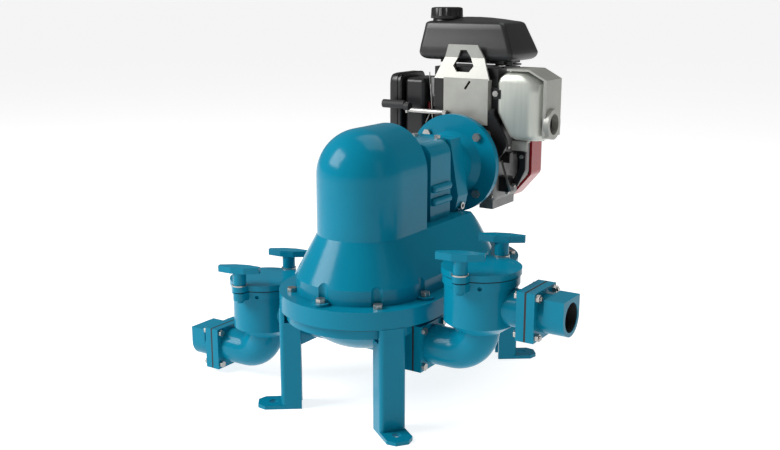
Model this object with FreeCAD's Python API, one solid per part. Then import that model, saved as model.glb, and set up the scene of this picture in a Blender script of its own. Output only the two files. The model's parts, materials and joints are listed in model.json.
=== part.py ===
"""Engine-driven diaphragm trash pump: one STEP file per node, millimetres, +Z up.

Design frame: pump axis on X = 0, Y = 0, floor at Z = 0, discharge towards +X, engine towards +Y.
Every shape is moved back by FEET_Y on export, so the origin lies centrally between the foot holes.
"""
import FreeCAD
import Part
import math
import os

# ---------------------------------------------------------------- driving dimensions
SHAFT_Z = 343.0          # engine, reducer and eccentric shaft height
BELL_R, BELL_L, BELL_Z = 70.0, 70.0, 364.0
NECK_Z, SKIRT_R, SKIRT_Z = 276.0, 104.0, 213.0
FLANGE_R, FLANGE_TOP, FLANGE_MID, FLANGE_LOW = 129.0, 189.4, 174.4, 162.4
REAR_Y = 243.0           # centre of the round rear end of the base
PED_Y = 196.0            # centre of the round rear end of the pedestal
WALL = 7.0
BOLT_PCD_R = 110.0
BOLT_AF, BOLT_R, BOLT_HOLE = 13.0, 4.0, 4.3      # M8 screws of housing, base and bowl
SMALL_AF, SMALL_R, SMALL_HOLE = 10.0, 3.0, 3.4   # M6 screws of the square pipe flanges
LEG_ANGLE, HOLE_R, LEG_R = 36.5, 142.0, 129.5
LEG_W, LEG_T, LEG_SIDE, FOOT_L, FOOT_HOLE = 40.0, 6.0, 32.0, 36.0, 7.0
FEET_Y = REAR_Y / 2.0
INNER_X = 109.0          # joint face between bowl and valve chambers
LOW_DX, HIGH_DX = 90.0, 84.0     # chamber axis to low and high port faces
LOW_Z, PORT_STEP = 122.0, 79.0   # height of the bowl ports, rise from low to high port
PORT_HALF, PORT_T, GASKET, PORT_BOLT = 35.0, 12.0, 3.0, 27.5
PIPE_R, BORE_R = 27.0, 21.0
BODY_R, LID_R, LUG_Y = 52.7, 57.4, 62.3
NOZZLE_L, NOZZLE_W, NECK_L = 51.0, 27.0, 10.0
BALL_R, SEAT_R = 24.0, 17.0
ECC, ECC_R, ROD_L = 8.0, 24.0, 105.0
MODULE, TEETH_S, TEETH_L = 5.0 / 3.0, 12, 30
LAY_Z = SHAFT_Z - MODULE * (TEETH_S + TEETH_L) / 2.0
ADAPT_Y, ADAPT_R, ADAPT_BOLT_R = 269.0, 84.0, 68.6
ENGINE_Y = 304.0
TANK = (-99.0, 85.0, 314.0, 428.0, 514.0, 588.0)

X, Y, Z = (1, 0, 0), (0, 1, 0), (0, 0, 1)
NODES = {}


def vec(p):
    return FreeCAD.Vector(*p)


def box(x0, x1, y0, y1, z0, z1):
    return Part.makeBox(x1 - x0, y1 - y0, z1 - z0, vec((x0, y0, z0)))


def cyl(r, p, d, h):
    return Part.makeCylinder(r, h, vec(p), vec(d))


def tube(ro, ri, p, d, h):
    return cyl(ro, p, d, h).cut(cyl(ri, p, d, h))


def prism(points, d):
    wire = Part.makePolygon([vec(p) for p in points] + [vec(points[0])])
    return Part.Face(wire).extrude(vec(d))


def fuse(shapes):
    out = shapes[0]
    for s in shapes[1:]:
        out = out.fuse(s)
    return out.removeSplitter()


def plate_xz(outline, y, depth, r=0.0):
    """Plate with an X-Z outline, carried along Y, corners rounded by r."""
    s = prism([(x, y, z) for x, z in outline], (0, depth, 0))
    return s.makeFillet(r, [e for e in s.Edges if e.BoundBox.YLength > 0.9 * depth]) if r else s


def soft(shape, r):
    return shape.makeFillet(r, shape.Edges)


def loft(sections):
    """Solid through rounded rectangles given as (x0, x1, y0, y1, z, corner radius)."""
    wires = []
    for x0, x1, y0, y1, z, r in sections:
        s = box(x0, x1, y0, y1, z, z + 1.0)
        upright = [e for e in s.Edges if abs(e.Vertexes[0].Z - e.Vertexes[1].Z) > 0.5]
        s = s.makeFillet(r, upright)
        wires.append([f for f in s.Faces if abs(f.CenterOfMass.z - z) < 1e-6][0].OuterWire)
    return Part.makeLoft(wires, True, True)


def obround(r, y1, z0, z1):
    return fuse([cyl(r, (0, 0, z0), Z, z1 - z0), cyl(r, (0, y1, z0), Z, z1 - z0),
                 box(-r, r, 0, y1, z0, z1)])


def turned(shape, angle, p=(0, 0, 0), d=Z):
    out = shape.copy()
    out.rotate(vec(p), vec(d), angle)
    return out


def moved(shape, d):
    out = shape.copy()
    out.translate(vec(d))
    return out


def hexagon(af, p, d, h):
    """Hexagonal prism, across flats af, standing on p along d."""
    r = af / math.sqrt(3.0)
    pts = [(r * math.cos(math.radians(60 * i)), r * math.sin(math.radians(60 * i)), 0) for i in range(6)]
    s = prism(pts, (0, 0, h)).common(cyl(r * 0.97, (0, 0, 0), Z, h))
    s.Placement = FreeCAD.Placement(vec(p), FreeCAD.Rotation(vec(Z), vec(d)))
    return s


def screw(p, d, af, head, r, length):
    """Hex head screw seated at p, head along d, shank the other way."""
    back = tuple(-c for c in d)
    return fuse([hexagon(af, p, d, head), cyl(r, p, back, length)])


def put(name, *shapes):
    NODES[name] = shapes[0] if len(shapes) == 1 else Part.makeCompound(list(shapes))


def polar(r, a):
    return r * math.cos(math.radians(a)), r * math.sin(math.radians(a))


# ---------------------------------------------------------------- drive housing and base
def skirt(top_r, low_r, z0, top, rear, slope_y):
    """Skirt cross-section turned at the front, carried back and closed by a sloping rear."""
    half = [(0, 0, z0), (low_r, 0, z0), (low_r, 0, SKIRT_Z), (top_r, 0, top), (0, 0, top)]
    ring = Part.Face(Part.makePolygon([vec(p) for p in half + half[:1]])).revolve(vec((0, 0, 0)), vec(Z), 360)
    full = [(-low_r, 0, z0), (low_r, 0, z0), (low_r, 0, SKIRT_Z), (top_r, 0, top),
            (-top_r, 0, top), (-low_r, 0, SKIRT_Z)]
    body = fuse([ring, prism(full, (0, rear, 0)), moved(ring, (0, rear, 0))])
    tail = slope_y + 300
    wedge = prism([(-200, slope_y, top + 1), (-200, tail, top - 299), (-200, tail, top + 1)], (400, 0, 0))
    return body.cut(wedge)


def bell(r, length, z0):
    return fuse([cyl(r, (0, 0, z0), Z, BELL_Z - z0), Part.makeSphere(r, vec((0, 0, BELL_Z))),
                 box(-r, r, 0, length, z0, BELL_Z), cyl(r, (0, 0, BELL_Z), Y, length)])


bolt_angles = [45 * i for i in range(8)]
front_spots = [polar(BOLT_PCD_R, a) for a in (0, -45, -90, -135, 180)]
side_spots = [(s * 117.0, y) for s in (-1, 1) for y in (90.0, 170.0)]
rear_spots = [(x, REAR_Y + y) for x, y in (polar(117.0, a) for a in (30, 90, 150))]
inner_spots = [polar(BOLT_PCD_R, a) for a in (45, 90, 135)]
pads = [polar(BOLT_PCD_R, a) for a in (0, -90, 180)]

outer = fuse([skirt(BELL_R, SKIRT_R, FLANGE_MID, NECK_Z, PED_Y, 215.0), bell(BELL_R, BELL_L, NECK_Z - 60),
              obround(FLANGE_R, REAR_Y, FLANGE_MID, FLANGE_TOP)]
             + [cyl(13.0, (x, y, FLANGE_MID), Z, 19.0) for x, y in pads])
hollow = fuse([skirt(BELL_R - WALL, SKIRT_R - 14, FLANGE_MID - 1, NECK_Z - WALL, PED_Y, 205.0),
               bell(BELL_R - WALL, BELL_L - WALL, NECK_Z - 60)])
housing = outer.cut(hollow)
for x, y in front_spots:
    base = FLANGE_MID + 19.0 if (x, y) in pads else FLANGE_TOP
    pocket = cyl(10.5, (x, y, base), Z, 24.0).fuse(Part.makeSphere(10.5, vec((x, y, base + 24.0))))
    housing = housing.cut(pocket)
for x, y in front_spots + side_spots + rear_spots:
    housing = housing.cut(cyl(BOLT_HOLE, (x, y, FLANGE_MID - 1), Z, 40.0))
housing = housing.cut(cyl(21.0, (0, BELL_L - WALL - 1, SHAFT_Z), Y, WALL + 2))
housing = housing.cut(cyl(100.5, (0, 0, FLANGE_MID - 1), Z, 18.0).common(box(-200, 200, -200, 200, 0, 186.0)))
put("drive_housing", housing)

plate = obround(FLANGE_R, REAR_Y, FLANGE_LOW, FLANGE_MID).cut(cyl(88.0, (0, 0, 0), Z, 400))
plate = plate.cut(box(-60, 60, 130, 300, 0, 400))
parts = [plate]
for angle, cy in ((-LEG_ANGLE, 0.0), (180 + LEG_ANGLE, 0.0), (LEG_ANGLE, REAR_Y), (180 - LEG_ANGLE, REAR_Y)):
    channel = box(LEG_R - LEG_SIDE, LEG_R, -LEG_W / 2, LEG_W / 2, 0, FLANGE_LOW)
    corners = [e for e in channel.Edges if e.Length > 100 and e.CenterOfMass.x > LEG_R - 1]
    channel = channel.makeFillet(7.0, corners)
    channel = channel.cut(box(0, LEG_R - LEG_T, -LEG_W / 2 + LEG_T, LEG_W / 2 - LEG_T, -1, FLANGE_LOW + 1))
    channel = channel.cut(box(0, 121.5, -LEG_W, LEG_W, 140, FLANGE_LOW + 1))
    tip = LEG_R + FOOT_L
    foot = prism([(LEG_R - 8, -LEG_W / 2, 0), (tip - 11, -LEG_W / 2, 0), (tip, -10, 0), (tip, 10, 0),
                  (tip - 11, LEG_W / 2, 0), (LEG_R - 8, LEG_W / 2, 0)], (0, 0, LEG_T))
    leg = fuse([channel, foot]).cut(cyl(FOOT_HOLE, (HOLE_R, 0, -1), Z, 20))
    parts.append(moved(turned(leg, angle), (0, cy, 0)))
frame = fuse(parts)
for x, y in front_spots + side_spots + rear_spots + inner_spots:
    frame = frame.cut(cyl(BOLT_HOLE, (x, y, FLANGE_LOW - 1), Z, 20))
put("base_frame", frame)

# ---------------------------------------------------------------- bowl and diaphragm drive
RIM_TOP = FLANGE_LOW - 4.0
flat_cut = box(-INNER_X + 0.5, INNER_X - 0.5, -200, 200, 0, 400)
rim = cyl(119.0, (0, 0, 146.0), Z, RIM_TOP - 146.0).common(flat_cut)
dish = Part.makeSphere(126.0, vec((0, 0, 224.0))).common(box(-130, 130, -130, 130, 90, 150))
pipe = cyl(PIPE_R + 2, (-INNER_X, 0, LOW_Z), X, 2 * INNER_X)
lugs = [box(s * INNER_X - (PORT_T if s > 0 else 0), s * INNER_X + (0 if s > 0 else PORT_T),
            -PORT_HALF, PORT_HALF, LOW_Z - PORT_HALF, LOW_Z + PORT_HALF) for s in (-1, 1)]
bowl = fuse([rim, dish, pipe] + lugs)
cavity = fuse([Part.makeSphere(119.0, vec((0, 0, 224.0))).common(box(-86, 86, -86, 86, 90, 160)),
               cyl(86.0, (0, 0, 147.0), Z, 20), cyl(BORE_R, (-150, 0, LOW_Z), X, 300)])
bowl = bowl.cut(cavity)
diaphragm_spots = [polar(BOLT_PCD_R, a) for a in bolt_angles if a not in (0, 180)]
for x, y in diaphragm_spots:
    bowl = bowl.cut(cyl(BOLT_HOLE, (x, y, 100), Z, 80))


def port_holes(x, z, depth):
    """Four bolt holes through a square port flange, drilled along X from x."""
    return [cyl(SMALL_HOLE, (x, sy * PORT_BOLT, z + sz * PORT_BOLT), X, depth)
            for sy in (-1, 1) for sz in (-1, 1)]


for h in port_holes(INNER_X - 11, LOW_Z, 30) + port_holes(-INNER_X - 19, LOW_Z, 30):
    bowl = bowl.cut(h)
put("bowl", bowl)

seal = tube(119.0, 86.0, (0, 0, RIM_TOP), Z, 4.0).common(flat_cut)
for x, y in diaphragm_spots:
    seal = seal.cut(cyl(BOLT_HOLE, (x, y, RIM_TOP - 1), Z, 8))
put("diaphragm_rim", seal)
put("diaphragm_disc", tube(85.0, 8.0, (0, 0, RIM_TOP), Z, 4.0))

PIN_Z = SHAFT_Z - ROD_L
stem = fuse([cyl(12.0, (0, 0, 162.4), Z, 50.0), cyl(60.0, (0, 0, 162.4), Z, 5.0),
             cyl(8.0, (0, 0, 140.0), Z, 25.0)])
cheeks = [box(-22, 22, s * 15 - 4, s * 15 + 4, 208.0, 268.0) for s in (-1, 1)]
clevis = fuse([stem, box(-22, 22, -19, 19, 200.0, 212.0)] + cheeks)
clevis = clevis.cut(box(-15, 15, -30, 30, PIN_Z - 23, PIN_Z + 23))
put("plunger", clevis, tube(60.0, 8.0, (0, 0, 153.4), Z, 5.0),
    hexagon(24.0, (0, 0, 143.4), Z, 10.0).cut(cyl(8.0, (0, 0, 140), Z, 20)))
guide = tube(100.0, 12.06, (0, 0, FLANGE_MID), Z, 11.0).fuse(tube(20.0, 12.06, (0, 0, 180.0), Z, 10.0))
put("plunger_guide", guide.cut(cyl(70.0, (0, 0, FLANGE_MID - 1), Z, 5.0)))

ECC_X = ECC
rod = fuse([tube(31.0, ECC_R + 0.05, (ECC_X, -9, SHAFT_Z), Y, 18.0),
            box(ECC_X - 8, ECC_X + 8, -7, 7, PIN_Z + 8, SHAFT_Z - 27), cyl(12.0, (ECC_X, -9, PIN_Z), Y, 18.0),
            cyl(6.0, (ECC_X, -24, PIN_Z), Y, 48.0)])
put("connecting_rod", rod)


def gear(teeth, y, width, z):
    """Spur gear on the Y axis with plain trapezoid teeth and working backlash."""
    r = MODULE * teeth / 2.0
    pts = []
    for i in range(teeth):
        step = 360.0 / teeth
        mid = step * i
        for k, rad in ((-0.30, r - 1.7), (-0.13, r + 1.2), (0.13, r + 1.2), (0.30, r - 1.7)):
            a = math.radians(mid + k * step)
            pts.append((rad * math.cos(a), y, z + rad * math.sin(a)))
    return prism(pts, (0, width, 0))


eccentric = cyl(ECC_R, (ECC_X, -10, SHAFT_Z), Y, 20.0)
put("eccentric_shaft", fuse([cyl(15.0, (0, -14, SHAFT_Z), Y, 140.0), eccentric,
                             gear(TEETH_L, 118.0, 14.0, SHAFT_Z)]))
put("lay_shaft", fuse([cyl(7.0, (0, 100.0, LAY_Z), Y, 84.0), gear(TEETH_S, 116.0, 18.0, LAY_Z),
                       gear(TEETH_L, 146.0, 14.0, LAY_Z)]))
put("bearings", tube(21.0, 15.05, (0, 63.0, SHAFT_Z), Y, 12.0), tube(12.0, 7.05, (0, 98.0, LAY_Z), Y, 8.0),
    tube(12.0, 7.05, (0, 176.0, LAY_Z), Y, 8.0))

# ---------------------------------------------------------------- reducer
hump = [(-38, 0, NECK_Z), (38, 0, NECK_Z), (42, 0, 320), (38, 0, 372), (28, 0, 398), (-28, 0, 398),
        (-38, 0, 372), (-42, 0, 320)]
shell = moved(prism(hump, (0, 124.5, 0)), (0, 70.5, 0))
bulge = box(-51, 51, 112, 174, NECK_Z, 398.0)
bulge = bulge.makeFillet(22.0, [e for e in bulge.Edges if e.BoundBox.ZMin > 397 and e.BoundBox.XLength < 0.1])
ribs = [soft(box(s * 52 - 6, s * 52 + 6, 114, 172, z - 6, z + 6), 5.0)
        for s in (-1, 1) for z in (306.0, 327.0)]
shell = fuse([shell, bulge] + ribs)
shell = shell.cut(box(-31, 31, 106.0, 176.0, 279.5, 374.0)).cut(cyl(21.0, (0, 60, SHAFT_Z), Y, 60.0))
shell = shell.cut(cyl(12.0, (0, 98.0, LAY_Z), Y, 86.0))
shell = shell.cut(cyl(16.0, (0, 170.0, SHAFT_Z), Y, 60.0))
lid_spots = [(s * 21.0, y) for s in (-1, 1) for y in (104.0, 182.0)]
for x, y in lid_spots:
    shell = shell.cut(cyl(3.1, (x, y, 386.0), Z, 20.0))
put("reducer_housing", shell)

slab = [(-38, 396), (38, 396), (54, 303), (50, 285), (44, NECK_Z), (-44, NECK_Z), (-50, 285), (-54, 303)]
neck = [cyl(44.0, (0, 228.0, SHAFT_Z), Y, ADAPT_Y - 228.0),
        Part.makeCone(44.0, 56.0, 12.0, vec((0, ADAPT_Y - 12, SHAFT_Z)), vec(Y))]
adapter = fuse([plate_xz(slab, 195, 33.0)] + neck + [cyl(ADAPT_R, (0, ADAPT_Y, SHAFT_Z), Y, 11.0)])
adapter = adapter.cut(cyl(16.0, (0, 190, SHAFT_Z), Y, 60)).cut(cyl(36.0, (0, 240, SHAFT_Z), Y, 60))
adapt_spots = [(x, SHAFT_Z + z) for x, z in (polar(ADAPT_BOLT_R, a) for a in (45, 135, 225, 315))]
for x, z in adapt_spots:
    adapter = adapter.cut(cyl(4.2, (x, ADAPT_Y - 1, z), Y, 20))
adapter = adapter.cut(cyl(6.05, (42.0, 212.0, 285.0), X, 20.0))
put("adapter", adapter)
put("adapter_ring", tube(ADAPT_R - 1, 60.0, (0, ADAPT_Y + 11, SHAFT_Z), Y, 3.0).cut(
    fuse([cyl(4.2, (x, ADAPT_Y, z), Y, 20) for x, z in adapt_spots])))
put("oil_plug", cyl(6.0, (42.1, 212.0, 285.0), X, 12.0).cut(hexagon(6.0, (49.0, 212.0, 285.0), X, 6.0)))
put("drive_bolts", *([screw((x, y, 398.0), Z, 10.0, 5.0, 3.0, 11.0) for x, y in lid_spots]
                     + [screw((x, ADAPT_Y, z), (0, -1, 0), 13.0, 6.0, 4.0, 30.0) for x, z in adapt_spots]))

bolts = [screw((x, y, FLANGE_TOP + (4.0 if (x, y) in pads else 0.0)), Z, BOLT_AF, 6.0, BOLT_R,
               26.0 if abs(y) < 1 else 42.0) for x, y in front_spots]
bolts += [screw((x, y, FLANGE_TOP), Z, BOLT_AF, 6.0, BOLT_R, 26.0) for x, y in side_spots + rear_spots]
bolts += [screw((x, y, FLANGE_MID), Z, BOLT_AF, 6.0, BOLT_R, 27.0) for x, y in inner_spots]
put("housing_bolts", *bolts)
for x, y in inner_spots:
    NODES["plunger_guide"] = NODES["plunger_guide"].cut(cyl(11.0, (x, y, FLANGE_MID - 1), Z, 30))

# ---------------------------------------------------------------- valve chambers
def square_port(x, z, s, grow):
    """Square flange with its joint face at x, body on the side away from s."""
    x0, x1 = (x - grow, x) if s > 0 else (x, x + grow)
    return box(x0, x1, -PORT_HALF, PORT_HALF, z - PORT_HALF, z + PORT_HALF)


def lug_plan(r, reach, width, z0, h):
    """Round plate with two lugs along Y."""
    ears = [cyl(width, (0, s * reach, z0), Z, h) for s in (-1, 1)]
    return fuse([cyl(r, (0, 0, z0), Z, h), box(-width, width, -reach, reach, z0, z0 + h)] + ears)


def chamber(xc, zl):
    """Valve chamber casting on the axis x = xc with its low port at height zl."""
    zh, bottom, top = zl + PORT_STEP, zl + 52.0, zl + 121.0
    bend = 42.0
    body = [cyl(BODY_R, (0, 0, bottom), Z, top - bottom), lug_plan(LID_R - 2, LUG_Y, 11.0, top - 12, 12.0)]
    cone = Part.makeCone(PIPE_R + 6, BODY_R, 14.0, vec((0, 0, bottom - 14)), vec(Z))
    high = [cyl(PIPE_R, (0, 0, zh), X, HIGH_DX), square_port(HIGH_DX, zh, 1, PORT_T)]
    arc = Part.makeTorus(bend, PIPE_R + 2, vec((-bend, 0, zl + bend)), vec(Y)).common(
        box(-bend, 200, -100, 100, zl - 100, zl + bend))
    low = [arc, cyl(PIPE_R + 2, (0, 0, zl + bend), Z, bottom - zl - bend),
           cyl(PIPE_R + 2, (-LOW_DX, 0, zl), X, LOW_DX - bend), square_port(-LOW_DX, zl, -1, PORT_T)]
    solid = fuse(body + [cone] + high + low)
    arc_in = Part.makeTorus(bend, BORE_R, vec((-bend, 0, zl + bend)), vec(Y)).common(
        box(-bend, 200, -100, 100, zl - 100, zl + bend))
    inner = fuse([cyl(45.0, (0, 0, bottom), Z, 200), cyl(BORE_R, (0, 0, zh), X, 200), arc_in,
                  cyl(BORE_R, (0, 0, zl + bend), Z, bottom - zl - bend + 1),
                  cyl(BORE_R, (-200, 0, zl), X, 200 - bend)])
    solid = solid.cut(inner)
    for h in port_holes(-LOW_DX - 5, zl, 30) + port_holes(HIGH_DX - 25, zh, 30):
        solid = solid.cut(h)
    for s in (-1, 1):
        solid = solid.cut(cyl(5.4, (0, s * LUG_Y, top - 30), Z, 60))
    solid = solid.cut(cyl(3.0, (24.0, -BODY_R - 8, top - 8.0), Y, 14.0))
    return moved(solid, (xc, 0, 0))


SIDES = {"discharge": (INNER_X + GASKET + LOW_DX, LOW_Z),
         "suction": (-INNER_X - GASKET - HIGH_DX, LOW_Z - PORT_STEP)}
seats, lid_seals, port_seals, port_bolts = [], [], [], []
for side, (xc, zl) in SIDES.items():
    top, bottom = zl + 121.0, zl + 52.0
    put(side + "_valve_body", chamber(xc, zl))
    seats.append(tube(45.0, SEAT_R, (xc, 0, bottom), Z, 8.0))
    ball_z = bottom + 8.05 + math.sqrt(BALL_R ** 2 - SEAT_R ** 2)
    put(side + "_valve_ball", Part.makeSphere(BALL_R, vec((xc, 0, ball_z))))
    ring = lug_plan(LID_R - 3, LUG_Y, 9.0, top, 2.0).cut(cyl(45.0, (0, 0, top - 1), Z, 5))
    cover = lug_plan(LID_R, LUG_Y, 12.0, top + 2, 9.0)
    for s in (-1, 1):
        hole = cyl(5.4, (0, s * LUG_Y, top - 5), Z, 60)
        ring, cover = ring.cut(hole), cover.cut(hole)
    lid_seals.append(moved(ring, (xc, 0, 0)))
    put(side + "_lid", moved(cover, (xc, 0, 0)))
    for s, end in ((-1, "front"), (1, "rear")):
        y, z = s * LUG_Y, top + 11.0
        put("%s_washer_%s" % (side, end), tube(12.0, 5.4, (xc, y, z), Z, 2.0))
        half = [(-34, -4), (-11, -11), (11, -11), (34, -4)]
        plan = half + [(-px, -py) for px, py in half]
        wing = turned(prism([(px, py, z + 22) for px, py in plan], (0, 0, 10.0)), 20.0)
        stud = fuse([cyl(10.5, (xc, y, z + 2.0), Z, 21.0), cyl(5.0, (xc, y, top - 17.0), Z, 35.0),
                     moved(wing, (xc, y, 0))])
        put("%s_handle_%s" % (side, end), stud)
    out = 1 if side == "discharge" else -1
    face = xc + (HIGH_DX if out > 0 else -LOW_DX)
    zp = zl + PORT_STEP if out > 0 else zl
    start = face + out * GASKET
    nozzle = square_port(start + out * PORT_T, zp, out, PORT_T)
    x0 = min(start, start + out * NOZZLE_L)
    neck_end = start + out * (PORT_T + NECK_L)
    u0, u1 = sorted((neck_end, start + out * NOZZLE_L))
    horn = cyl(NOZZLE_W, (x0, 0, zp), X, NOZZLE_L).fuse(box(u0, u1, -NOZZLE_W, NOZZLE_W, zp, zp + NOZZLE_W))
    nozzle = fuse([nozzle, horn]).cut(cyl(BORE_R, (x0 - 5, 0, zp), X, NOZZLE_L + 10))
    for h in port_holes(face - 25, zp, 50):
        nozzle = nozzle.cut(h)
    put(side + "_nozzle", nozzle)
    for gx, gz in ((face, zp), (out * INNER_X, LOW_Z)):
        g = square_port(gx + out * GASKET, gz, out, GASKET)
        openings = [cyl(BORE_R + 1, (gx - 10, 0, gz), X, 20)] + port_holes(gx - 30, gz, 60)
        port_seals.append(g.cut(fuse(openings)))
    grip = 2 * PORT_T + GASKET
    for y in (-PORT_BOLT, PORT_BOLT):
        for dz in (-PORT_BOLT, PORT_BOLT):
            seat_x = face - out * PORT_T
            port_bolts.append(fuse([hexagon(SMALL_AF, (seat_x, y, zp + dz), (-out, 0, 0), 4.5),
                                    cyl(SMALL_R, (seat_x, y, zp + dz), (out, 0, 0), grip + 8.0),
                                    hexagon(SMALL_AF, (seat_x + out * grip, y, zp + dz), (out, 0, 0), 5.5)]))
            seat_x = out * (INNER_X + GASKET + PORT_T)
            port_bolts.append(screw((seat_x, y, LOW_Z + dz), (out, 0, 0), SMALL_AF, 4.5, SMALL_R, 25.0))
put("valve_seats", *seats)
put("lid_gaskets", *lid_seals)
put("port_gaskets", *port_seals)
put("port_bolts", *port_bolts)

# ---------------------------------------------------------------- engine
EY = ENGINE_Y
case = soft(box(-66, 66, EY, 396, 276, 408), 9.0)
feet = [box(x0, x0 + 26, EY + 4, 390, 262, 280) for x0 in (-62, 34)]
face = cyl(62.0, (0, ADAPT_Y + 14.0, SHAFT_Z), Y, EY - ADAPT_Y - 12.0)
crank_hollow = fuse([cyl(44.0, (0, EY + 12, SHAFT_Z), Y, 72.0), cyl(13.05, (0, 250, SHAFT_Z), Y, 200.0)])
ears = [cyl(9.0, (x, ADAPT_Y + 14.0, z), Y, 30.0) for x, z in adapt_spots]
case = fuse([case, face] + feet + ears).cut(crank_hollow)
for x, z in adapt_spots:
    case = case.cut(cyl(4.2, (x, ADAPT_Y, z), Y, 34))
put("crankcase", case)
crank = fuse([cyl(13.0, (0, 198.0, SHAFT_Z), Y, 216.0), gear(TEETH_S, 144.0, 18.0, SHAFT_Z),
              cyl(8.0, (0, 144.0, SHAFT_Z), Y, 60.0), cyl(36.0, (0, EY + 20, SHAFT_Z), Y, 18.0),
              cyl(36.0, (0, EY + 52, SHAFT_Z), Y, 18.0), cyl(64.0, (0, 409.0, SHAFT_Z), Y, 16.0)])
put("crankshaft", crank)

fins = [box(-54, 54, 320, 390, 410 + 9 * i, 414 + 9 * i) for i in range(9)]
put("cylinder", fuse([cyl(31.0, (0, 355, 408.0), Z, 88.0)] + fins))
hood = box(-62, 62, 314, 398, 409, 503).cut(box(-58, 58, 318, 394, 400, 499))
hood = hood.cut(cyl(9.0, (20, 300, 445), Y, 30))
back_plate = plate_xz([(-50, 272), (48, 272), (84, 314), (84, 430), (62, 470), (-62, 470), (-84, 430),
                       (-84, 314)], 396.5, 4.0)
hood = fuse([hood, back_plate.cut(cyl(62, (0, 390, SHAFT_Z), Y, 20))])
put("shroud", hood)
put("tank_bracket", fuse([box(-60, 64, 330, 392, 509.5, 513.5), box(56, 60, 340, 380, 503, 510),
                          box(-60, -56, 340, 380, 503, 510)]))
tx0, tx1, ty0, ty1, tz0, tz1 = TANK
tank = loft([(tx0 + 9, tx1 - 9, ty0 + 8, ty1 - 8, tz0, 10), (tx0, tx1, ty0, ty1, tz0 + 13, 13),
             (tx0 + 10, tx1 - 21, ty0 + 6, ty1 - 18, tz1 - 11, 13),
             (tx0 + 30, tx1 - 44, ty0 + 24, ty1 - 38, tz1, 13)])
tank_in = loft([(tx0 + 14, tx1 - 14, ty0 + 12, ty1 - 12, tz0 + 4, 10),
                (tx0 + 16, tx1 - 28, ty0 + 12, ty1 - 26, tz1 - 16, 12)])
FILL = (-61.0, 352.0)
tank = tank.cut(tank_in).fuse(cyl(20.0, (FILL[0], FILL[1], tz1 - 12), Z, 13.0)).cut(
    cyl(16.0, (FILL[0], FILL[1], tz1 - 20), Z, 30.0))
put("fuel_tank", tank.removeSplitter())
cap = cyl(28.5, (FILL[0], FILL[1], tz1 + 1.2), Z, 14.0)
cap = cap.makeFillet(2.5, [e for e in cap.Edges if e.BoundBox.ZMin > tz1 + 15])
cap = cap.cut(fuse([cyl(2.2, (FILL[0] + x, FILL[1] + y, tz1), Z, 30)
                    for x, y in (polar(29.5, 30 * i) for i in range(12))]))
put("fuel_cap", cap.fuse(cyl(15.5, (FILL[0], FILL[1], tz1 - 6), Z, 10.0)))

BY = 298.0
sheet = fuse([box(-35, 51, BY, BY + 4, 408, 486), box(47, 51, BY, BY + 14, 414, 484)])
low_pane = prism([(-54, BY, 484), (53, BY, 484), (38, BY + 9, 520), (-38, BY + 9, 520)], (0, 4, 0))
high_pane = prism([(-38, BY + 9, 520), (38, BY + 9, 520), (28, BY + 3, 542), (-28, BY + 3, 542)], (0, 4, 0))
eye = plate_xz([(-20, 506), (-12, 496), (12, 496), (20, 506), (6, 533), (-6, 533)], 280, 50.0)
slit = turned(box(9, 13, BY - 5, BY + 10, 466, 483), 35, (11, BY, 474), Y)
put("lifting_bracket", fuse([sheet, low_pane, high_pane]).cut(eye).cut(slit))
put("hand_rod", fuse([cyl(4.0, (-104, BY - 6, 426), X, 79.0), cyl(4.0, (-29, BY - 10, 426), Y, 9.9),
                      cyl(4.5, (-104, BY - 6, 421), Z, 18.0), cyl(4.0, (-152, BY - 6, 434.5), X, 48.0)]))
put("hand_grip", tube(7.5, 4.0, (-155, BY - 6, 434.5), X, 45.0))

silencer = plate_xz([(63, 430), (90, 385), (147, 385), (147, 486), (120, 500), (78, 500), (63, 486)],
                    308, 64.0, 7.0)
hollow_can = plate_xz([(67, 431), (92, 389), (143, 389), (143, 484), (119, 496), (80, 496), (67, 484)],
                      312, 56.0)
lug = box(54, 66, 308, 312, 452, 472)
OUTLET = (140, 332, 414)
can = fuse([silencer.cut(hollow_can), box(62.05, 66, 330, 352, 446, 470), lug])
put("muffler", can.cut(cyl(17.5, OUTLET, X, 20)).cut(cyl(3.2, (62, 300, 462), Y, 20)))
cage = plate_xz([(147.5, 392), (153, 392), (153, 487.5), (121.5, 504), (80, 504), (80, 500.5),
                 (120.2, 500.55), (147.5, 486.4)], 309, 61.0)
put("muffler_guard", cage.cut(cyl(17.5, OUTLET, X, 30)).fuse(tube(25.5, 17.5, (150, *OUTLET[1:]), X, 9.0)))
put("muffler_bolt", fuse([cyl(5.0, (62, 303.0, 462), Y, 5.0), cyl(3.0, (62, 303.0, 462), Y, 8.8)]))

put("air_cleaner", soft(box(-126, -84, 316, 388, 374, 480), 8.0))
lid_box = soft(box(-158, -126.2, 308, 394, 364, 488), 10.0)
put("air_cover", lid_box.cut(soft(box(-155, -118, 312, 390, 368, 484), 6.0)))
put("carburetor", fuse([box(-83.5, -66, 336, 372, 430, 470), cyl(9.0, (-75, 354, 418), Z, 20.0)]))
put("throttle_lever", fuse([cyl(4.0, (-75, 330, 452), Y, 5.5), box(-78, -72, 329, 332, 452, 482)]))
put("governor_rod", cyl(1.3, (-70, 322, 405), (-0.08, 0.0, 1.0), 66.0))
fan_box = plate_xz([(-50, 268), (50, 268), (88, 312), (88, 404), (58, 436), (-58, 436), (-88, 404),
                    (-88, 312)], 401, 40.0, 12.0)
fan_room = plate_xz([(-47, 273), (47, 273), (83, 314), (83, 402), (55, 431), (-55, 431), (-83, 402),
                     (-83, 314)], 400, 36.0)
fan_hole = fan_room.fuse(cyl(62.0, (0, 400.0, SHAFT_Z), Y, 50.0))
put("fan_cover", fan_box.cut(fan_hole))
recoil = cyl(74.0, (0, 441.2, SHAFT_Z), Y, 24.0)
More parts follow.
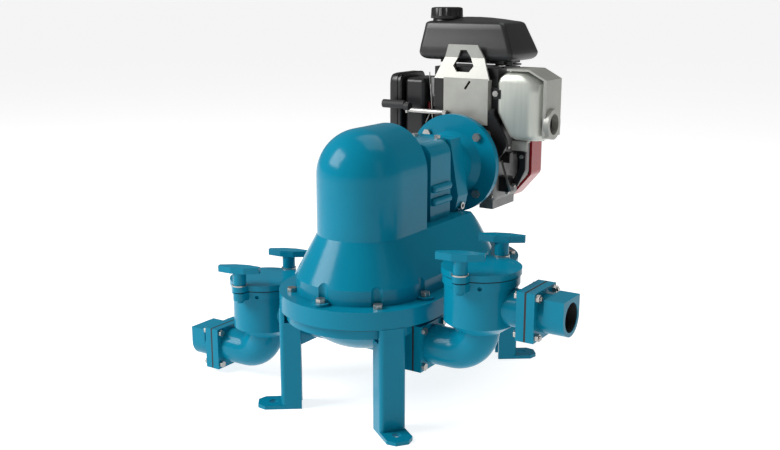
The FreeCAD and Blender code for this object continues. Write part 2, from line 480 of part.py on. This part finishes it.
recoil = recoil.makeFillet(8.0, [e for e in recoil.Edges if e.BoundBox.YMin > 460])
vent = box(-3, 3, 430, 480, SHAFT_Z + 26, SHAFT_Z + 60)
slots = fuse([turned(vent, 30 * i, (0, 0, SHAFT_Z), Y) for i in range(12)])
put("recoil_cover", recoil.cut(cyl(69.0, (0, 440, SHAFT_Z), Y, 21.0)).cut(slots))
put("starter_grip", soft(box(-20, 20, 466.5, 482, SHAFT_Z - 7, SHAFT_Z + 7), 4.0))
put("spark_plug", fuse([cyl(8.0, (20, 303.0, 445), Y, 10.0), cyl(5.5, (20, 308.0, 445), Y, 11.9)]))
knob = cyl(7.0, (84, 387.0, 409), Y, 9.4).fuse(box(82, 86, 383.0, 388.0, 403, 415))
put("engine_switch", knob)

os.makedirs("parts", exist_ok=True)
for name, shape in NODES.items():
    moved(shape, (0, -FEET_Y, 0)).exportStep("parts/%s.step" % name)
    print("%-26s solids %d valid %s" % (name, len(shape.Solids), shape.isValid()))
print("nodes", len(NODES))
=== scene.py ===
import bmesh
import bpy
import json
import math
from mathutils import Matrix, Vector


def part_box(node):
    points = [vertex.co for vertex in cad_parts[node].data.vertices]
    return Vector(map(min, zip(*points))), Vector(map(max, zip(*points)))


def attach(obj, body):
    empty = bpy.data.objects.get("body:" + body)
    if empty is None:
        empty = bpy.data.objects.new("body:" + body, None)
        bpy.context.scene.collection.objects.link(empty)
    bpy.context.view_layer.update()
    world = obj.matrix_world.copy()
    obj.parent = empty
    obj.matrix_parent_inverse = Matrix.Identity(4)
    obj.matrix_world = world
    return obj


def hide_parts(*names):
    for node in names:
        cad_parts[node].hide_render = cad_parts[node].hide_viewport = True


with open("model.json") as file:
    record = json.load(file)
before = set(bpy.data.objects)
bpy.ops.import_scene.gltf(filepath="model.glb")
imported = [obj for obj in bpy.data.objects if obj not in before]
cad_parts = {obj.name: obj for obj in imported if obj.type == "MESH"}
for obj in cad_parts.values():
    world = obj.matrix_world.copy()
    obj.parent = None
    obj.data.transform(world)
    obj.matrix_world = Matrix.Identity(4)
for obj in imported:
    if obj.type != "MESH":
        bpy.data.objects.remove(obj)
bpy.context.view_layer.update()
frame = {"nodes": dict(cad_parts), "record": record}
NODES = frame["nodes"]
SLOT_OF = {p["node"]: p["material_slot"] for p in frame["record"]["subparts"]}

# ---------------------------------------------------------------- materials
MATERIALS = {}
SHARP = math.radians(32.0)     # edges that bend more than this stay hard


def shader(name):
    """A new material, its node tree and its Principled node."""
    mat = bpy.data.materials.new(name)
    mat.use_nodes = True
    tree = mat.node_tree
    base = tree.nodes["Principled BSDF"]
    return mat, tree, base


def grain(tree, scale, stretch=(1, 1, 1), detail=4.0):
    """Noise over the object's own coordinates, in metres."""
    where = tree.nodes.new("ShaderNodeTexCoord")
    mapping = tree.nodes.new("ShaderNodeMapping")
    mapping.inputs["Scale"].default_value = stretch
    noise = tree.nodes.new("ShaderNodeTexNoise")
    noise.inputs["Scale"].default_value = scale
    noise.inputs["Detail"].default_value = detail
    tree.links.new(where.outputs["Object"], mapping.inputs["Vector"])
    tree.links.new(mapping.outputs["Vector"], noise.inputs["Vector"])
    return noise.outputs["Fac"]


def tint(tree, fac, low, high, socket):
    """Colour ramp from low to high driven by fac."""
    ramp = tree.nodes.new("ShaderNodeValToRGB")
    ramp.color_ramp.elements[0].position = 0.35
    ramp.color_ramp.elements[1].position = 0.68
    ramp.color_ramp.elements[0].color = (*low, 1)
    ramp.color_ramp.elements[1].color = (*high, 1)
    tree.links.new(fac, ramp.inputs["Fac"])
    tree.links.new(ramp.outputs["Color"], socket)


def bump(tree, fac, base, strength, distance):
    node = tree.nodes.new("ShaderNodeBump")
    node.inputs["Strength"].default_value = strength
    node.inputs["Distance"].default_value = distance
    tree.links.new(fac, node.inputs["Height"])
    tree.links.new(node.outputs["Normal"], base.inputs["Normal"])


def finish(slot, colour, metallic=0.0, rough=(0.3, 0.4), spread=0.08, scale=25.0, stretch=(1, 1, 1),
           bump_scale=300.0, bump_strength=0.05, bump_depth=0.0004, coat=0.0, specular=0.5, glow=0.0):
    """One finish: colour mottled by spread, roughness varied between two values, fine surface bump."""
    mat, tree, base = shader(slot)
    low = tuple(c * (1 - spread) for c in colour)
    high = tuple(min(1.0, c * (1 + spread)) for c in colour)
    wide = grain(tree, scale, stretch)
    tint(tree, wide, low, high, base.inputs["Base Color"])
    span = tree.nodes.new("ShaderNodeMapRange")
    span.inputs["To Min"].default_value = rough[0]
    span.inputs["To Max"].default_value = rough[1]
    tree.links.new(wide, span.inputs["Value"])
    tree.links.new(span.outputs["Result"], base.inputs["Roughness"])
    base.inputs["Metallic"].default_value = metallic
    base.inputs["Coat Weight"].default_value = coat
    base.inputs["Coat Roughness"].default_value = 0.12
    base.inputs["Specular IOR Level"].default_value = specular
    base.inputs["Emission Color"].default_value = (1, 1, 1, 1)
    base.inputs["Emission Strength"].default_value = glow
    bump(tree, grain(tree, bump_scale, stretch), base, bump_strength, bump_depth)
    MATERIALS[slot] = mat


finish("teal_paint", (0.002, 0.195, 0.305), rough=(0.16, 0.22), spread=0.04, scale=14.0, bump_scale=160.0,
       bump_strength=0.04, coat=0.05, specular=0.11)
finish("zinc_bolts", (0.43, 0.42, 0.40), metallic=0.9, rough=(0.28, 0.42), scale=90.0)
finish("black_rubber", (0.012, 0.012, 0.013), rough=(0.55, 0.7), scale=80.0)
finish("machined_steel", (0.42, 0.42, 0.42), metallic=1.0, rough=(0.25, 0.35), scale=60.0, stretch=(1, 8, 1))
finish("engine_casting", (0.24, 0.24, 0.24), metallic=0.6, rough=(0.40, 0.55), spread=0.14, scale=60.0,
       bump_scale=700.0, bump_strength=0.25)
finish("black_sheet", (0.012, 0.012, 0.013), rough=(0.24, 0.38), scale=50.0, specular=0.4)
finish("tank_grey", (0.020, 0.020, 0.021), rough=(0.30, 0.42), scale=30.0, specular=0.38)
finish("black_plastic", (0.010, 0.010, 0.011), rough=(0.26, 0.42), scale=60.0, bump_scale=900.0,
       bump_strength=0.12, bump_depth=0.0002, specular=0.4)
finish("galvanised_sheet", (0.37, 0.37, 0.34), metallic=0.35, rough=(0.32, 0.46), spread=0.05, scale=45.0)
finish("muffler_steel", (0.55, 0.57, 0.52), metallic=0.6, rough=(0.28, 0.36), spread=0.04, scale=30.0,
       stretch=(5.0, 5.0, 0.4), bump_strength=0.02)
finish("red_cover", (0.33, 0.008, 0.014), rough=(0.20, 0.32), scale=25.0, coat=0.25)
finish("floor", (0.50, 0.50, 0.50), rough=(0.7, 0.8), spread=0.01, scale=3.0, bump_strength=0.0, glow=0.82,
       specular=0.1)


def dress(obj, slot, width=0.0):
    """Material and smooth shading, split at hard edges, which are rounded first where a width is given."""
    obj.data.materials.clear()
    obj.data.materials.append(MATERIALS[slot])
    if width:
        round_off = obj.modifiers.new("edges", "BEVEL")
        round_off.width = width
        round_off.segments = 2
        round_off.limit_method = "ANGLE"
        round_off.angle_limit = SHARP
        round_off.harden_normals = True
    for face in obj.data.polygons:
        face.use_smooth = True
    split = obj.modifiers.new("flat", "EDGE_SPLIT")
    split.split_angle = SHARP


for name, obj in NODES.items():
    dress(obj, SLOT_OF[name])


# ---------------------------------------------------------------- mesh helpers
MM = 0.001


def rounded(points, radius, steps=6):
    """Closed 2-D outline with each corner rounded; radius is one number or one for each corner."""
    radii = radius if isinstance(radius, (list, tuple)) else [radius] * len(points)
    out = []
    for i, p in enumerate(points):
        p, a, b = Vector(p), Vector(points[i - 1]), Vector(points[(i + 1) % len(points)])
        before, after = (a - p), (b - p)
        reach = min(radii[i], before.length * 0.48, after.length * 0.48)
        start, end = p + before.normalized() * reach, p + after.normalized() * reach
        for k in range(steps + 1):
            t = k / steps
            out.append(start * (1 - t) ** 2 + p * 2 * t * (1 - t) + end * t * t)
    return out


def inset(points, distance):
    """Outline moved inwards by a distance; points run counter-clockwise."""
    out = []
    for i, p in enumerate(points):
        p, a, b = Vector(p), Vector(points[i - 1]), Vector(points[(i + 1) % len(points)])
        first, second = (p - a).normalized(), (b - p).normalized()
        n1, n2 = Vector((-first.y, first.x)), Vector((-second.y, second.x))
        n = (n1 + n2) / max(0.2, 1 + n1.dot(n2))
        out.append(p + n * distance)
    return out


def shell(name, rings, slot, body="frame", bevel=0.0, stands_for=(), closed=True):
    """Mesh skinned over rings of equally many points; ends closed unless told otherwise."""
    bm = bmesh.new()
    loops = [[bm.verts.new(p) for p in ring] for ring in rings]
    count = len(loops[0])
    for low, high in zip(loops, loops[1:]):
        for i in range(count):
            j = (i + 1) % count
            bm.faces.new((low[i], low[j], high[j], high[i]))
    if closed:
        bm.faces.new(list(reversed(loops[0])))
        bm.faces.new(loops[-1])
    place(name, bm, slot, body, bevel, stands_for)


def place(name, bm, slot, body="frame", bevel=0.0, stands_for=()):
    """Object from a bmesh: dressed, riding on a body and standing for CAD nodes."""
    bmesh.ops.recalc_face_normals(bm, faces=bm.faces)
    mesh = bpy.data.meshes.new(name)
    bm.to_mesh(mesh)
    bm.free()
    obj = bpy.data.objects.new(name, mesh)
    bpy.context.collection.objects.link(obj)
    dress(obj, slot, bevel)
    if stands_for:
        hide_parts(*stands_for)
    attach(obj, body)


def lathe(profile, centre, axis, steps=48):
    """Rings for shell(): (distance along axis, radius) pairs turned about X, Y or Z."""
    rings = []
    for along, radius in profile:
        ring = []
        for i in range(steps):
            a = 2 * math.pi * i / steps
            c, s = radius * math.cos(a), radius * math.sin(a)
            p = {"X": (along, c, s), "Y": (s, along, c), "Z": (c, s, along)}[axis]
            ring.append(Vector(centre) + Vector(p))
        rings.append(ring)
    return rings


def block(bm, low, high):
    """Adds a box to a bmesh."""
    made = bmesh.ops.create_cube(bm, size=1.0)["verts"]
    low, high = Vector(low), Vector(high)
    for v in made:
        v.co = (low + high) / 2 + Vector(a * b for a, b in zip(v.co, high - low))


def rod(bm, start, end, radius, sides=24):
    """Adds a closed cylinder between two points to a bmesh."""
    start, end = Vector(start), Vector(end)
    made = bmesh.ops.create_cone(bm, cap_ends=True, segments=sides, radius1=radius, radius2=radius,
                                 depth=(end - start).length)["verts"]
    turn_to = (end - start).to_track_quat("Z", "Y").to_matrix().to_4x4()
    bmesh.ops.transform(bm, matrix=Matrix.Translation((start + end) / 2) @ turn_to, verts=made)


def wire(name, points, radius, slot):
    """Thin bent wire as a smooth curve."""
    data = bpy.data.curves.new(name, "CURVE")
    data.dimensions = "3D"
    data.bevel_depth = radius
    data.bevel_resolution = 3
    spline = data.splines.new("NURBS")
    spline.points.add(len(points) - 1)
    for point, p in zip(spline.points, points):
        point.co = (*p, 1)
    spline.order_u = 3
    spline.use_endpoint_u = True
    data.materials.append(MATERIALS[slot])
    obj = bpy.data.objects.new(name, data)
    bpy.context.collection.objects.link(obj)
    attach(obj, "frame")


def plate(name, outline, near, far, slot, radius=0.0):
    """Plate with a closed X-Z outline between two depths along Y."""
    line = rounded(outline, radius, 5) if radius else [Vector(p) for p in outline]
    rings = [[(p.x, y, p.y) for p in line] for y in (near, far)]
    shell(name, rings, slot, bevel=0.6 * MM)


def hoop(name, outline, wall, near, far, slot, radius=0.0):
    """Open band that follows a closed X-Z outline between two depths along Y."""
    outer = rounded(outline, radius, 5) if radius else [Vector(p) for p in outline]
    inner = inset(outer, wall)
    rings = [[(p.x, y, p.y) for p in line] for line, y in
             ((outer, near), (outer, far), (inner, far), (inner, near), (outer, near))]
    shell(name, rings, slot, closed=False)


def boxes(name, spans, slot, bevel=0.8 * MM):
    """One piece made of several boxes, each given as (low corner, high corner)."""
    bm = bmesh.new()
    for low, high in spans:
        block(bm, low, high)
    place(name, bm, slot, bevel=bevel)


# ---------------------------------------------------------------- fuel tank
BACK_SLOPE = 0.22          # how fast the back face leans in with height
CAP_RIBS, RIB_OUT = 12, 0.055     # grip ribs round the cap, and how far each stands out of its radius


def tank():
    low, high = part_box("fuel_tank")
    x0, x1, y0, y1 = low.x, high.x, low.y, high.y
    z0, z1 = low.z, high.z - 1 * MM
    # height above the underside, then how far the left side, right side and ends are pulled in
    levels = [(0.0, 13, 12, 12), (0.8, 9, 8.5, 8.5), (2.6, 5.2, 5, 5), (5.5, 2.2, 2.2, 2.2),
              (9, 0.6, 0.6, 0.6), (13, 0, 0, 0), (24, 1.6, 3.8, 1.4), (38, 4.4, 9.0, 3.4),
              (52, 7.2, 14.4, 5.2), (61, 9.0, 18.2, 6.0), (63.5, 10.4, 20.4, 7.4),
              (65.3, 13.5, 24.5, 10.5), (66.6, 20, 32, 17), (69.5, 34, 48, 28),
              (71.8, 52, 66, 38), (73.0, 72, 86, 50)]
    rings = []
    for rise, left, right, ends in levels:
        back = ends + max(0.0, rise - 13) * BACK_SLOPE
        corners = [(x0 + left * MM, y0 + ends * MM), (x1 - right * MM, y0 + ends * MM),
                   (x1 - right * MM, y1 - back * MM), (x0 + left * MM, y1 - back * MM)]
        ring = rounded(corners, [13 * MM, 8 * MM, 13 * MM, 13 * MM], 8)
        rings.append([(p.x, p.y, z0 + rise * MM) for p in ring])
    shell("tank_shell", rings, "tank_grey", stands_for=("fuel_tank",))
    cap_low, cap_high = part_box("fuel_cap")
    neck = ((cap_low.x + cap_high.x) / 2, (cap_low.y + cap_high.y) / 2, 0)
    collar = [(z1 - 14 * MM, 25 * MM), (z1 - 4 * MM, 24 * MM), (z1 + 1.1 * MM, 21 * MM)]
    shell("filler_neck", lathe(collar, neck, "Z"), "black_plastic")
    top = cap_high.z
    grip = [(z1 - 4 * MM, 27 * MM), (z1 - 3.8 * MM, 28.4 * MM), (z1 + 0.5 * MM, 28.4 * MM),
            (z1 + 1 * MM, 26.6 * MM), (top - 3 * MM, 26.2 * MM), (top - 1 * MM, 25.2 * MM), (top, 22.5 * MM),
            (top, 3 * MM)]
    rings = lathe(grip, neck, "Z", 6 * CAP_RIBS)
    for ring in rings[3:6]:
        for first in range(0, len(ring), 6):
            for i in (first, first + 1, first + 2):
                ring[i] += (ring[i] - Vector((neck[0], neck[1], ring[i].z))) * RIB_OUT
    shell("cap_shell", rings, "black_plastic", body="cap", stands_for=("fuel_cap",))


tank()


# ---------------------------------------------------------------- muffler
# lean for each unit of height: left side low down, left side near the top, right side at the slanted corner
LOW_LEAN, HIGH_LEAN, TOP_SLOPE = 0.6, 0.7, 1.35
OUTLET_R = 17.3 * MM                          # disc of painted shade inside the outlet ring
OUTLET_IN, OUTLET_UP = 25.5 * MM, 29 * MM     # its centre: depth into the guard, height above the underside


def muffler():
    low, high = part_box("muffler")
    left, right, near, far = low.x + 9 * MM, high.x, low.y, high.y
    bottom, top = low.z, high.z
    # height above the underside, then how far every side is pulled in
    levels = [(0, 9), (1.2, 5), (3.5, 2), (7, 0.4), (12, 0), (30, 0), (45, 0), (62, 0), (80, 0),
              (95, 0), (103, 0.8), (108, 2.4), (111.5, 4.8), (113.6, 7.6), (115, 12)]
    rings = []
    for rise, pull in levels:
        lean = max(0.0, 45 - rise) * LOW_LEAN + max(0.0, rise - 100) * HIGH_LEAN
        slope = max(0.0, rise - 97) * TOP_SLOPE
        x0, x1 = left + (lean + pull) * MM, right - (slope + pull) * MM
        y0, y1 = near + pull * MM, far - pull * MM
        ring = rounded([(x0, y0), (x1, y0), (x1, y1), (x0, y1)], [8 * MM, 30 * MM, 8 * MM, 8 * MM], 10)
        rings.append([(p.x, p.y, bottom + rise * MM) for p in ring])
    shell("muffler_body", rings, "muffler_steel", stands_for=("muffler",))
    seam = [(left - 1.2 * MM, bottom + 44 * MM), (left + 25 * MM, bottom - 1 * MM),
            (right - 4 * MM, bottom - 1 * MM), (right - 1 * MM, bottom + 98 * MM),
            (right - 26 * MM, top + 0.4 * MM), (left + 13 * MM, top + 0.4 * MM),
            (left - 1.2 * MM, top - 14 * MM)]
    plate("muffler_seam", seam, near + 26 * MM, near + 28 * MM, "muffler_steel", radius=7 * MM)
    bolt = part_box("muffler_bolt")
    mid = (bolt[0] + bolt[1]) / 2
    tab = ((mid.x - 4 * MM, near - 0.2 * MM, mid.z - 9 * MM), (mid.x + 9 * MM, near + 2 * MM, mid.z + 7 * MM))
    arm = ((mid.x - 8 * MM, near, mid.z - 10 * MM), (left + 2 * MM, near + 4 * MM, mid.z + 10 * MM))
    boxes("muffler_lug", [tab, arm], "black_sheet")
    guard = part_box("muffler_guard")
    outlet = ((guard[0].x + guard[1].x) / 2, guard[0].y + OUTLET_IN, bottom + OUTLET_UP)
    # thin black disc just off the muffler's end: painted shade standing for the dark inside of the outlet
    shade_disc = [(right + gap - outlet[0], OUTLET_R) for gap in (0.1 * MM, 0.5 * MM)]
    shell("outlet_painted_shade", lathe(shade_disc, outlet, "X"), "black_sheet")


muffler()


# ---------------------------------------------------------------- air cleaner cover
def air_cleaner():
    low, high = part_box("air_cover")
    outline = [(low.y, low.z), (high.y, low.z), (high.y, high.z), (low.y, high.z)]
    # share of the way from the engine side to the outer face, then how far the outline is pulled in
    profile = [(0.0, 2), (0.06, 0), (0.10, 0), (0.105, 1.6), (0.30, 1.6), (0.305, 0.4), (0.62, 0.4),
               (0.82, 2.2), (0.93, 6.5), (1.0, 14)]
    rings = []
    for part, pull in profile:
        ring = rounded(inset(outline, pull * MM), 16 * MM, 7)
        rings.append([(high.x + (low.x - high.x) * part, p.x, p.y) for p in ring])
    shell("air_cover_shell", rings, "black_plastic", stands_for=("air_cover",))
    knob = (0, (low.y + high.y) / 2, (low.z + high.z) / 2)
    turned = [(low.x - 7 * MM, 6 * MM), (low.x - 6 * MM, 8 * MM), (low.x + 1 * MM, 8.5 * MM)]
    shell("air_cover_knob", lathe(turned, knob, "X", 8), "black_plastic", bevel=0.6 * MM)


air_cleaner()

# ---------------------------------------------------------------- engine details
SHAFT_Z = sum(corner.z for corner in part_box("recoil_cover")) / 2
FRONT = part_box("cylinder")[0].y


def spot(x, depth, height):
    """Point in millimetres from the shaft axis, depth counted from the front of the cylinder fins."""
    return Vector((x * MM, FRONT + depth * MM, SHAFT_Z + height * MM))


def flat(points):
    """X-Z outline in millimetres from the shaft axis."""
    return [(x * MM, SHAFT_Z + z * MM) for x, z in points]


def depth_at(depth):
    """Y of a depth counted from the front of the cylinder fins."""
    return spot(0, depth, 0).y


def cowls():
    front = [(-64, 6), (-64, 66), (-40, 76), (40, 76), (61, 96), (61, 84), (84, 46), (88, 34), (80, 18),
             (68, 6)]
    plate("front_cowl", flat(front), depth_at(-20), depth_at(-20) + 7 * MM, "black_sheet", radius=5 * MM)
    side = (spot(66.4, -14, 8), spot(69.5, 70, 64))
    top = (spot(60, -8, 64), spot(69.5, 72, 68))
    boxes("side_cowl", [side, top], "black_sheet")
    rim = [(-50, -73), (48, -73), (85, -29), (85, 60), (62, 92), (-62, 92), (-85, 60), (-85, -29)]
    hoop("fan_housing_rim", flat(rim), 3 * MM, depth_at(62), depth_at(76), "engine_casting", radius=8 * MM)


def stays():
    web, lip = (spot(84, 6, 22), spot(113, 9, 38)), (spot(84, 6, 36), spot(113, 20, 39))
    boxes("muffler_stay", [web, lip], "galvanised_sheet")
    hook = [(92, 20), (109, 20), (109, -12), (94, -42), (84, -34), (98, -8), (98, 6), (92, 10)]
    plate("throttle_stay", flat(hook), depth_at(10), depth_at(16), "black_sheet", radius=3 * MM)


def ignition():
    coil, plug_cover = (spot(66.2, -4, -50), spot(86, 18, -24)), (spot(66.2, 0, 0), spot(84, 14, 18))
    boxes("coil_box", [coil, plug_cover], "black_plastic", bevel=1.5 * MM)
    strap = [(70, 4), (74, 6), (92, -46), (88, -48)]
    plate("coil_strap", flat(strap), depth_at(-7), depth_at(-5), "zinc_bolts")


def screws():
    bm = bmesh.new()
    for x, z in ((76, 26), (103, 12), (90, -38), (78, -52)):
        rod(bm, spot(x, 4, z), spot(x, 12, z), 3.2 * MM, 12)
    for x, z in ((-58, -58), (58, -58), (-58, 58)):
        rod(bm, spot(x, -19, z), spot(x, -12, z), 4.5 * MM, 6)
    place("engine_screws", bm, "zinc_bolts", bevel=0.4 * MM)


def controls():
    boxes("fuel_cock", [(spot(-92, 8, 80), spot(-80, 22, 95))], "red_cover", bevel=1.5 * MM)
    bm = bmesh.new()
    rod(bm, spot(-110, -28, 89), spot(-99, -28, 89), 8.0 * MM, 20)
    place("hand_rod_joint", bm, "black_rubber", bevel=1.5 * MM)
    wire("choke_rod", [spot(-81, 8, 148), spot(-80, 8, 120), spot(-75, 8, 86)], 0.9 * MM, "zinc_bolts")
    wire("throttle_rod", [spot(-77, 2, 74), spot(-84, 2, 60), spot(-96, 2, 36)], 1.2 * MM, "zinc_bolts")
    wire("speed_spring", [spot(-61, 0, 136), spot(-59, -2, 112), spot(-57, 0, 90)], 1.8 * MM, "zinc_bolts")


def tank_supports():
    upright, shelf = (spot(44, 16, 163), spot(76, 20, 180)), (spot(44, 16, 163), spot(72, 62, 166))
    boxes("tank_stay", [upright, shelf], "black_sheet")
    wire("tank_rod", [spot(40, 12, 162), spot(66, 12, 164)], 1.2 * MM, "zinc_bolts")


for section in (cowls, stays, ignition, screws, controls, tank_supports):
    section()


# ---------------------------------------------------------------- painted shade inside the pipe bores
PORT_CENTRE, BORE = 35 * MM, 20.7 * MM     # height in the nozzle, and radius of the painted shade lining just inside its wall


def painted_shade_bores():
    for side, out in (("discharge", 1), ("suction", -1)):
        low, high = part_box(side + "_nozzle")
        mid = (low + high) / 2
        port = (0, mid.y, low.z + PORT_CENTRE)
        end, start = (high.x, low.x) if out > 0 else (low.x, high.x)
        stations = (start - out * 60 * MM, start, end - out * MM)
        rings = lathe([(x, BORE) for x in stations], port, "X")
        # black tube inside each teal bore: painted shade standing for the dark inside of the pipe
        shell(side + "_bore_shade", rings, "black_rubber", closed=False)


painted_shade_bores()

# ---------------------------------------------------------------- camera, light and floor
PUMP_Y = sum(corner.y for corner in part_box("bowl")) / 2
AZIMUTH, ELEVATION = math.radians(33.0), math.radians(13.1)
EYE = Vector((0.840, PUMP_Y - 1.2196, 0.631))


def look(azimuth, elevation):
    """Rotation of a camera that looks along an azimuth and down by an elevation."""
    ahead = Vector((-math.sin(azimuth) * math.cos(elevation), math.cos(azimuth) * math.cos(elevation),
                    -math.sin(elevation)))
    right = Vector((math.cos(azimuth), math.sin(azimuth), 0))
    up = right.cross(ahead)
    return Matrix((right, up, -ahead)).transposed().to_4x4()


camera = bpy.data.objects.new("camera", bpy.data.cameras.new("camera"))
bpy.context.collection.objects.link(camera)
camera.matrix_world = Matrix.Translation(EYE) @ look(AZIMUTH, ELEVATION)
camera.data.sensor_width = 36.0
camera.data.lens = 46.45
camera.data.clip_start = 0.05
bpy.context.scene.camera = camera


def area(name, where, aim, size, power):
    light = bpy.data.objects.new(name, bpy.data.lights.new(name, "AREA"))
    bpy.context.collection.objects.link(light)
    light.data.shape = "RECTANGLE"
    light.data.size, light.data.size_y = size
    light.data.energy = power
    light.location = where
    light.rotation_euler = (Vector(aim) - Vector(where)).to_track_quat("-Z", "Y").to_euler()


area("key", (-1.8, -1.7, 1.9), (0, 0, 0.25), (1.6, 1.6), 98)
area("fill", (2.4, -0.7, 1.2), (0, 0, 0.25), (0.8, 1.8), 2)
area("top", (0.3, 0.6, 2.6), (0, 0, 0.2), (2.0, 1.6), 24)
world = bpy.data.worlds.new("studio")
bpy.context.scene.world = world
world.use_nodes = True
world.node_tree.nodes["Background"].inputs["Color"].default_value = (1, 1, 1, 1)
world.node_tree.nodes["Background"].inputs["Strength"].default_value = 0.17
bpy.context.scene.view_settings.view_transform = "Standard"

floor_mesh = bpy.data.meshes.new("floor")
HALF = 90.0
corners = [(-HALF, -HALF, 0), (HALF, -HALF, 0), (HALF, HALF, 0), (-HALF, HALF, 0)]
floor_mesh.from_pydata(corners, [], [(0, 1, 2, 3)])
floor = bpy.data.objects.new("floor", floor_mesh)
bpy.context.collection.objects.link(floor)
floor.data.materials.append(MATERIALS["floor"])
